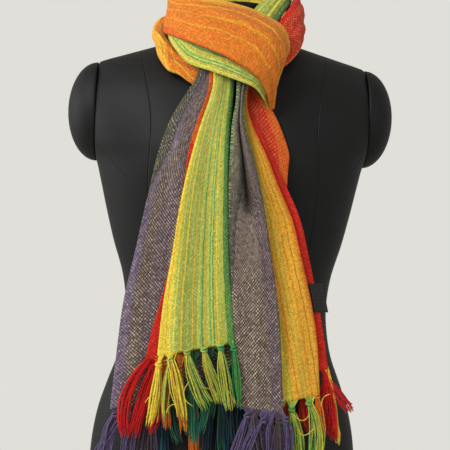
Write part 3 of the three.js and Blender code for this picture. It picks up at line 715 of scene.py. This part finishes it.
LOWER = Table("ux uy uz lx ly lz bulge", [
    (-36, -97, 560, -36, -98, 531, 1.5), (-45, -90, 561, -52, -98, 535, 3),
    (-54, -80, 567, -67, -92, 546, 5), (-63, -68, 573, -80, -86, 552, 7),
    (-71, -55, 580, -89, -73, 565, 8), (-80, -43, 590, -94, -56, 577, 9),
    (-86, -26, 605, -95, -32, 589, 9), (-88, -4, 619, -94, -6, 597, 9),
    (-85, 16, 631, -90, 16, 600, 10), (-73, 43, 636, -80, 46, 601, 9),
    (-44, 71, 638, -48, 79, 603, 9), (0, 82, 639, 0, 92, 604, 9),
    (44, 71, 640, 48, 79, 604, 9), (72, 42, 645, 78, 46, 606, 9),
    (78, 8, 659, 84, 8, 612, 7), (76, -20, 654, 84, -20, 607, 6),
    (65.5, -44, 636, 82, -46, 596, 6), (50, -62, 613, 75, -64, 580, 6),
    (39, -76, 591, 60, -79, 563, 5), (28, -86, 570, 40, -89, 549, 3),
], numbered=True)
LOWER_S = Table("n upper lower", [
    (0, 82, 104), (3, 82, 112), (5, 84, 134), (7, 96, 134), (8, 100, 142), (11, 60, 104),
    (14, 4, 62), (19, 2, 60),
])
EDGE_FOLD = 1.9
INNER_GAP = 4  # how much less the inner layer bulges than the outer one
SELVEDGE = 0.5
TUCK = 0.22  # how far the lower strand's edges go on behind it
ROWS_A_CUT = 11  # rows of the visible cloth for each row of a strand's table
UPPER_COLUMNS = {"inner": 26, "edge": 7, "outer": 40}
LOWER_COLUMNS = 56
PLEAT_COUNT = 3
# Waves across a strand: height, count, how far and how often they wander, and their start.
PLEAT_WAVES = [(1.0, 1.0, 0.35, 0.7, 1), (0.5, 1.9, 0.5, 0.45, 2)]


def cut_frames(table):
    def edge(prefix, m):
        return np.stack([table.at(prefix + axis, m) for axis in "xyz"], -1)

    last = int(table.rows[-1, 0])
    n = np.linspace(0, last, last * ROWS_A_CUT + 1)
    look = 0.3  # how far along the table a cut looks each way for its direction
    before, after = np.clip(n - look, 0, last), np.clip(n + look, 0, last)
    upper, lower = edge("u", n), edge("l", n)
    along = edge("u", after) + edge("l", after) - edge("u", before) - edge("l", before)
    up = upper - lower
    half = np.linalg.norm(up, axis=1) / 2
    up = unit(up)
    out = unit(np.cross(along, up))
    middle = (upper + lower) / 2
    flip = (out[:, 0] * middle[:, 0] + out[:, 1] * middle[:, 1]) < 0
    out[flip] *= -1
    return n, table.at("bulge", n), upper, lower, middle, up, out, half


def strand_length(middle):
    steps = np.linalg.norm(np.diff(middle, axis=0), axis=1)
    return np.concatenate([[0], np.cumsum(steps)])


def across_length(grid):
    steps = np.linalg.norm(np.diff(grid, axis=1), axis=2)
    return np.concatenate([np.zeros((len(grid), 1)), np.cumsum(steps, axis=1)], axis=1)


def pleats(share, n, height, shift):
    """Soft lengthwise folds that wander along a strand."""
    wave = 0
    for size, times, wander, often, start in PLEAT_WAVES:
        across = times * PLEAT_COUNT * share + wander * np.sin(often * n + start * shift)
        wave = wave + size * np.cos(2 * np.pi * across)
    return height * wave


def upper_strand():
    n, bulge, upper, lower, middle, up, out, _ = cut_frames(UPPER)
    inner = np.stack([UPPER.at("g" + axis, n) for axis in "xyz"], -1)
    fold_s, lower_s, inner_s = (UPPER_S.at(name, n) for name in ("fold", "lower", "inner"))
    inner_rise = np.maximum(0, 1 - INNER_GAP / np.maximum(bulge, INNER_GAP))
    columns, stripes = [], []

    def layer(to, lift, share, strength, end_s):
        p = upper + out * lift
        p = p + (to - p) * share
        rise = bulge + pleats(share, n, height=1.1, shift=0.6)
        p = p + out * (rise * strength * math.sin(math.pi * share))[:, None]
        columns.append(p)
        stripes.append(fold_s + (end_s - fold_s) * share)

    for share in np.linspace(1, 0, UPPER_COLUMNS["inner"]):
        layer(inner, -EDGE_FOLD, share, inner_rise, inner_s)
    for turn in np.linspace(0, math.pi, UPPER_COLUMNS["edge"])[1:-1]:
        p = upper + up * (EDGE_FOLD * math.sin(turn)) - out * (EDGE_FOLD * math.cos(turn))
        columns.append(p)
        stripes.append(fold_s)
    for share in np.linspace(0, 1, UPPER_COLUMNS["outer"]):
        layer(lower, EDGE_FOLD, share, 1.0, lower_s)
    return strand_object("stole_upper_strand", columns, stripes, middle)


def lower_strand():
    n, bulge, _, _, middle, up, out, half = cut_frames(LOWER)
    upper_s, lower_s = LOWER_S.at("upper", n), LOWER_S.at("lower", n)
    columns, stripes = [], []
    for share in np.linspace(-TUCK, 1 + TUCK, LOWER_COLUMNS):
        inside = min(max(share, 0), 1)
        lift = bulge * math.sin(math.pi * share)
        lift = lift + pleats(share, n, height=1.0, shift=1.4) * math.sin(math.pi * inside)
        over = half * math.cos(math.pi * share)
        columns.append(middle + up * over[:, None] + out * lift[:, None])
        stripes.append(upper_s + (lower_s - upper_s) * share)
    return strand_object("stole_lower_strand", columns, stripes, middle)


def strand_object(name, columns, stripes, middle):
    grid = np.stack(columns, axis=1)
    s = np.clip(np.stack(stripes, axis=1), SELVEDGE, CLOTH_WIDTH - SELVEDGE)
    length = strand_length(middle)[:, None] + np.zeros_like(s)
    weave = join(across_length(grid), length)
    return cloth_object(name, grid, join(s, length), weave, WOVEN)


# ---- fringes ----
YARN_RADIUS = 0.62
YARN_TIP = 0.5
YARN_STEPS = 14
YARN_SIDES = 4
ROOT_STEPS = 5
TIED_KNOT, LOOSE_KNOT = 3.3, 4.2
COILS = [(2.0, 0.8), (0, 1.0), (-2.0, 0.85)]  # round a knot: height and size
COIL_RADIUS = 1.25
DEPTH_SHARE = 0.7
TIP_SCATTER = 6
BELLY_SCATTER = 0.8
CURL_TURNS = (5, 11)
CURL_SIZE = (0.2, 0.9)


def tube(path, radius):
    """Rings round one path, with a flat face at each end."""
    tangent = unit(np.gradient(path, axis=0))
    side = unit(np.cross(tangent, [0.0, 1.0, 0.0]))
    front = np.cross(side, tangent)
    turns = full_turn(YARN_SIDES)
    taper = np.ones(len(path))
    taper[-1] = YARN_TIP
    offsets = (side[:, None, :] * np.cos(turns)[None, :, None]
               + front[:, None, :] * np.sin(turns)[None, :, None])
    points = path[:, None, :] + offsets * (radius * taper)[:, None, None]
    return points.reshape(-1, 3), tube_faces(len(path), YARN_SIDES)


class Bundle:
    """Yarns gathered into one mesh."""

    def __init__(self):
        self.points, self.faces, self.pairs, self.count = [], [], [], 0

    def add(self, path, s, radius=YARN_RADIUS):
        points, faces = tube(path, radius)
        self.faces += [[k + self.count for k in f] for f in faces]
        self.points.append(points)
        length = np.repeat(strand_length(path), YARN_SIDES)
        self.pairs.append(join(np.full(len(points), s), length))
        self.count += len(points)

    def build(self, name):
        points = np.concatenate(self.points)
        obj = make_mesh(name, points, self.faces, {"stripe": np.concatenate(self.pairs) * MM})
        obj.data.materials.append(YARN)
        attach(obj, "root")
        return obj


def curve(a, mid, b, t):
    """Through a, mid and b, evenly from t = 0 to 1."""
    t = t[:, None]
    pull = 2 * mid - (a + b) / 2
    return (1 - t) ** 2 * a + 2 * t * (1 - t) * pull + t * t * b


def tassel(bundle, hem, s_range, knot, mid, end, yarns, spread, tied):
    """Yarns run from the cloth's end into a knot, then hang loose to a splayed end."""
    t = np.linspace(0, 1, YARN_STEPS)
    knot_size = TIED_KNOT if tied else LOOSE_KNOT
    for _ in range(yarns):
        angle, reach = rng.uniform(0, 2 * math.pi), math.sqrt(rng.uniform(0.02, 1))
        around = np.array([math.cos(angle), DEPTH_SHARE * math.sin(angle), 0]) * reach
        tip = end + around * spread + [0, 0, rng.uniform(-TIP_SCATTER, TIP_SCATTER)]
        belly = mid + around * (knot_size + 0.45 * spread) + rng.normal(0, BELLY_SCATTER, 3)
        hang = curve(knot + around * knot_size * (0.6 if tied else 1), belly, tip, t)
        phase, turns = rng.uniform(0, 6.3), rng.uniform(*CURL_TURNS)
        amount = rng.uniform(*CURL_SIZE) * np.sin(np.pi * np.minimum(t * 1.2, 1) / 2)
        hang[:, 0] += amount * (np.sin(turns * t + phase) - math.sin(phase))
        hang[:, 1] += amount * (np.cos(turns * t + phase) - math.cos(phase)) * DEPTH_SHARE
        root = hem[rng.integers(len(hem))] + [0, 0, 2.5]
        between = (root * 0.45 + hang[0] * 0.55) + [0, 0, 0.5]
        rise = curve(root, between, hang[0], np.linspace(0, 1, ROOT_STEPS))
        bundle.add(np.concatenate([rise[:-1], hang]), rng.uniform(*s_range))
    if tied:
        turn = np.linspace(0, 2 * math.pi, 13)
        for level, size in COILS:
            ring = knot + join(
                np.cos(turn) * knot_size * size,
                np.sin(turn) * knot_size * size,
                level + 1.1 * np.sin(turn + level),
            )
            bundle.add(ring, sum(s_range) / 2, COIL_RADIUS)


# Each fringe has its tail, the layer it hangs from, how far back it swings, and its locks.
# x and z are where each lock is knotted, where it is half way down and where it ends; s_low and
# s_high are the warp it is made of, and tied, when given, is 0 for a loose one.
LOCK = "x z mid_x mid_z end_x end_z s_low s_high yarns spread tied".split()
FRINGES = {
    "fringe_a_red": (TAIL_A, 0, -2, [
        (-93, 216, -117, 176, -119, 130, 0, 14, 34, 7, 0),
        (-87, 208, -96, 178, -109, 131, 0, 14, 34, 7, 0),
        (-77, 200, -78, 172, -90, 135, 0, 30, 22, 5, 0),
    ]),
    "fringe_a_gold": (TAIL_A, 1, -5, [
        (-75, 212, -74, 176, -71, 140, 75, 95, 20, 5),
        (-58, 206, -57, 176, -53, 138, 80, 120, 18, 5),
        (-42, 204, -42, 165, -39, 124, 254, 266, 20, 5),
        (-26, 205, -26, 173, -34, 134, 254, 270, 20, 4),
    ]),
    "fringe_a_front": (TAIL_A, 2, -11, [
        (-82, 211, -84, 177, -89, 147, 149, 162, 26, 6),
        (-69, 216, -74, 184, -74, 153, 155, 195, 15, 4),
        (-68, 217, -61, 188, -54, 155, 149, 168, 22, 7, 0),
        (-50, 225, -41, 197, -27, 166, 172, 230, 30, 8),
        (-31, 228, -23, 201, -12, 173, 180, 240, 24, 5),
        (-12, 231, -8, 201, -1, 166, 205, 252, 28, 7),
        (3, 230, 6, 197, 9, 168, 242, 256, 14, 3),
    ]),
    "fringe_a_back": (TAIL_A, 3, 7, [
        (-58, 208, -56, 184, -45, 133, 254, 268, 34, 6),
        (-37, 216, -35, 195, -20, 160, 254, 290, 30, 6),
        (-15, 224, -17, 196, -20, 152, 254, 272, 30, 5),
        (-65, 170, -65, 145, -58, 121, 254, 272, 24, 6),
        (-24, 180, -26, 141, -28, 107, 262, 300, 30, 8),
        (-10, 182, -7, 138, -6, 103, 256, 298, 30, 8),
        (3, 190, 1, 136, 8, 104, 262, 300, 26, 8),
        (14, 190, 12, 136, 17, 104, 270, 300, 18, 6),
        (-38, 168, -38, 130, -36, 98, 62, 104, 26, 7),
        (-76, 160, -77, 130, -74, 100, 262, 296, 26, 7),
        (-131, 149, -137, 130, -141, 96, 392, 399, 26, 7),
        (-121, 148, -134, 126, -149, 100, 392, 399, 26, 7, 0),
        (-109, 150, -114, 124, -117, 92, 385, 399, 28, 8),
        (-97, 152, -101, 124, -105, 92, 300, 399, 24, 8),
        (-86, 154, -88, 126, -88, 97, 300, 399, 22, 8),
    ]),
    "fringe_b_red": (TAIL_B, 0, 6, [
        (112, 196, 109, 163, 112, 133, 0, 14, 34, 7),
        (114, 196, 120, 161, 125, 128, 0, 14, 30, 6, 0),
        (116, 193, 128, 176, 141, 161, 0, 40, 20, 6, 0),
        (118, 185, 124, 150, 128, 124, 148, 162, 10, 4, 0),
        (86, 176, 88, 153, 94, 136, 14, 60, 20, 4),
        (66, 176, 66, 150, 68, 122, 60, 80, 20, 5),
        (50, 176, 50, 150, 48, 118, 60, 100, 20, 5),
    ]),
    "fringe_b_gold": (TAIL_B, 2, 1, [
        (101, 176, 105, 154, 109, 132, 76, 105, 16, 3),
        (92, 168, 99, 140, 97, 102, 198, 250, 22, 5),
        (93, 168, 103, 140, 105, 104, 149, 200, 20, 5, 0),
        (72, 161, 78, 136, 83, 104, 200, 250, 34, 7),
        (58, 156, 62, 128, 66, 100, 190, 262, 22, 6),
        (44, 156, 50, 128, 54, 98, 205, 262, 20, 6),
        (28, 156, 30, 128, 30, 96, 230, 268, 20, 6),
    ]),
    "fringe_b_front": (TAIL_B, 5, -5, [
        (20, 155, 13, 134, 5, 104, 392, 399, 24, 7),
        (28, 154, 32, 132, 39, 100, 370, 399, 26, 8, 0),
        (38, 150, 25, 130, 17, 100, 392, 399, 26, 7),
        (46, 149, 41, 128, 48, 95, 392, 399, 28, 8, 0),
        (56, 149, 55, 126, 56, 95, 340, 399, 26, 7),
        (64, 151, 67, 131, 66, 100, 392, 399, 22, 5),
    ]),
}
# Yarns that have slipped out of their locks: their ends, the middle between, and s.
STRAY_RADIUS = 0.45
STRAYS = {
    "fringe_a_front": [
        ((-47, 194), (-53, 178), (-42, 166), 155),
        ((-72, 158), (-68, 166), (-60, 168), 155),
        ((-96, 169), (-90, 177), (-84, 178), 155),
        ((-36, 188), (-28, 187), (-20, 184), 216),
        ((-8, 190), (0, 180), (4, 170), 216),
    ],
    "fringe_b_gold": [
        ((74, 156), (84, 150), (92, 158), 155),
        ((80, 140), (86, 133), (98, 142), 155),
        ((106, 166), (108, 176), (116, 180), 155),
    ],
}


def fringe(name, tail, layer, swing, locks):
    bundle = Bundle()
    ends = np.array([
        tail.point(layer, along, np.array([tail.hem(layer, along)]))[0][0]
        for along in np.linspace(0.005, 0.995, 120)
    ])

    def depth(x, z, out):
        return float(tail.surface(np.array(x), np.array(z))) + tail.levels[layer] * LAYER_GAP + out

    for number, row in enumerate(locks):
        k = {"tied": 1, **dict(zip(LOCK, row))}
        near = np.abs(ends[:, 0] - k["x"])
        hem = ends[near <= max(LOCK_PITCH * 0.5, near.min() + 1)]
        place = [
            np.array([k[a], depth(k["x"], max(k["z"], 150), swing * out), k[b]], float)
            for a, b, out in (("x", "z", 0.6), ("mid_x", "mid_z", 0.95), ("end_x", "end_z", 1.0))
        ]
        place[1][1] += (1.5 if number % 2 else -1.5)
        tassel(bundle, hem, (k["s_low"], k["s_high"]), *place, k["yarns"], k["spread"], k["tied"])
    for a, mid, b, s in STRAYS.get(name, []):
        y = depth(a[0], 180, swing - 8)
        ends_and_mid = [np.array([p[0], y, p[1]], float) for p in (a, mid, b)]
        bundle.add(curve(*ends_and_mid, np.linspace(0, 1, 12)), s, STRAY_RADIUS)
    obj = bundle.build(name + "_yarns")
    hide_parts(name)
    return obj


# ---- label ----
LABEL = {"top": 306, "height": 33, "width": 17, "inset": 1.6, "wall": 1.0}
LABEL_THIN = 0.8  # drawn a little thinner than its solid


def label():
    rows, cols = 14, 9
    z = LABEL["top"] - LABEL["height"] * np.arange(rows) / (rows - 1)
    lift = HALF_WALL + 2 * SEAM_GAP + LABEL["wall"] / 2
    grid, pairs = [], []
    for j in range(cols):
        across = LABEL["width"] * j / (cols - 1)
        x = TAIL_B.table.at("x2", z) + LABEL["inset"] + across
        y = TAIL_B.surface(x, z) + TAIL_B.levels[0] * LAYER_GAP - lift
        grid.append(join(x, y, z))
        pairs.append(np.stack([np.full(rows, across), LABEL["top"] - z], -1))
    pairs = np.stack(pairs, axis=1)
    obj = cloth_object("label_plate", np.stack(grid, axis=1), pairs, pairs, label_material(),
                       LABEL["wall"] * LABEL_THIN)
    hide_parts("label")


# ---- everything ----
build_form()
upper_piece = upper_strand()
lower_piece = lower_strand()
drape_piece = tail_sheet("stole_drape", DRAPE, 0.4)
tail_a_piece = tail_sheet("stole_tail_a", TAIL_A, 0.7)
tail_b_piece = tail_sheet("stole_tail_b", TAIL_B, 0.6, tail_b_front)
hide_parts("loop_over", "wrap_back_upper", "strand_green")
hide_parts("loop_under", "wrap_back_lower", "strand_red")
for obj, node in ((drape_piece, "loop_drape"), (tail_a_piece, "tail_a"), (tail_b_piece, "tail_b")):
    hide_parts(node)
fringe_pieces = [fringe(name, *row) for name, row in FRINGES.items()]
label()

# ---- floor, light and camera ----
scene = bpy.context.scene
FLOOR = {"radius": 460, "sides": 96, "z": -0.5}
floor = make_mesh(
    "floor",
    [(FLOOR["radius"] * math.cos(a), FLOOR["radius"] * math.sin(a), FLOOR["z"])
     for a in full_turn(FLOOR["sides"])],
    [list(range(FLOOR["sides"]))],
)
paper = Nodes("pale_floor")
floor.data.materials.append(paper.finish((0.74, 0.73, 0.69, 1), 0.9))

# The camera sees the backdrop's colour; the part is lit by a softer glow.
world = bpy.data.worlds.new("pale_room")
world.use_nodes = True
room = world.node_tree
seen = room.nodes["Background"]
seen.inputs[0].default_value = (0.745, 0.738, 0.690, 1)
glow = room.nodes.new("ShaderNodeBackground")
glow.inputs[0].default_value = (1.0, 0.985, 0.95, 1)
glow.inputs[1].default_value = 0.46
path = room.nodes.new("ShaderNodeLightPath")
either = room.nodes.new("ShaderNodeMixShader")
room.links.new(path.outputs["Is Camera Ray"], either.inputs[0])
room.links.new(glow.outputs[0], either.inputs[1])
room.links.new(seen.outputs[0], either.inputs[2])
room.links.new(either.outputs[0], room.nodes["World Output"].inputs[0])
scene.world = world
scene.view_settings.view_transform = "Standard"


LIGHTS_AIM = (0, 0, 0.4)


def softbox(name, place, size, power):
    data = bpy.data.lights.new(name, "AREA")
    data.shape = "SQUARE"
    data.size = size
    data.energy = power
    light = bpy.data.objects.new(name, data)
    scene.collection.objects.link(light)
    light.location = place
    way = Vector(LIGHTS_AIM) - Vector(place)
    light.rotation_euler = way.to_track_quat("-Z", "Y").to_euler()


softbox("key", (-1.5, -1.6, 1.7), 1.2, 44)
softbox("side", (-1.9, 0.3, 0.7), 1.0, 12)
softbox("fill", (1.5, -1.6, 0.7), 1.2, 4)

# The camera, in metres.
DISTANCE = 1.5
VIEW_HEIGHT = 0.371
VIEW_TURN = math.radians(-3)
VIEW_ROLL = math.radians(1.5)
SIDE_STEP = -0.00375
ahead = Vector((-math.sin(VIEW_TURN), math.cos(VIEW_TURN), 0))
right = Vector((math.cos(VIEW_TURN), math.sin(VIEW_TURN), 0))
camera_data = bpy.data.cameras.new("camera")
camera_data.sensor_width = 36
camera_data.lens = 96
camera = bpy.data.objects.new("camera", camera_data)
scene.collection.objects.link(camera)
turn = Matrix((right, Vector((0, 0, 1)), -ahead)).transposed().to_4x4()
place = -ahead * DISTANCE + right * SIDE_STEP + Vector((0, 0, VIEW_HEIGHT))
camera.matrix_world = Matrix.Translation(place) @ turn @ Matrix.Rotation(VIEW_ROLL, 4, "Z")
scene.camera = camera
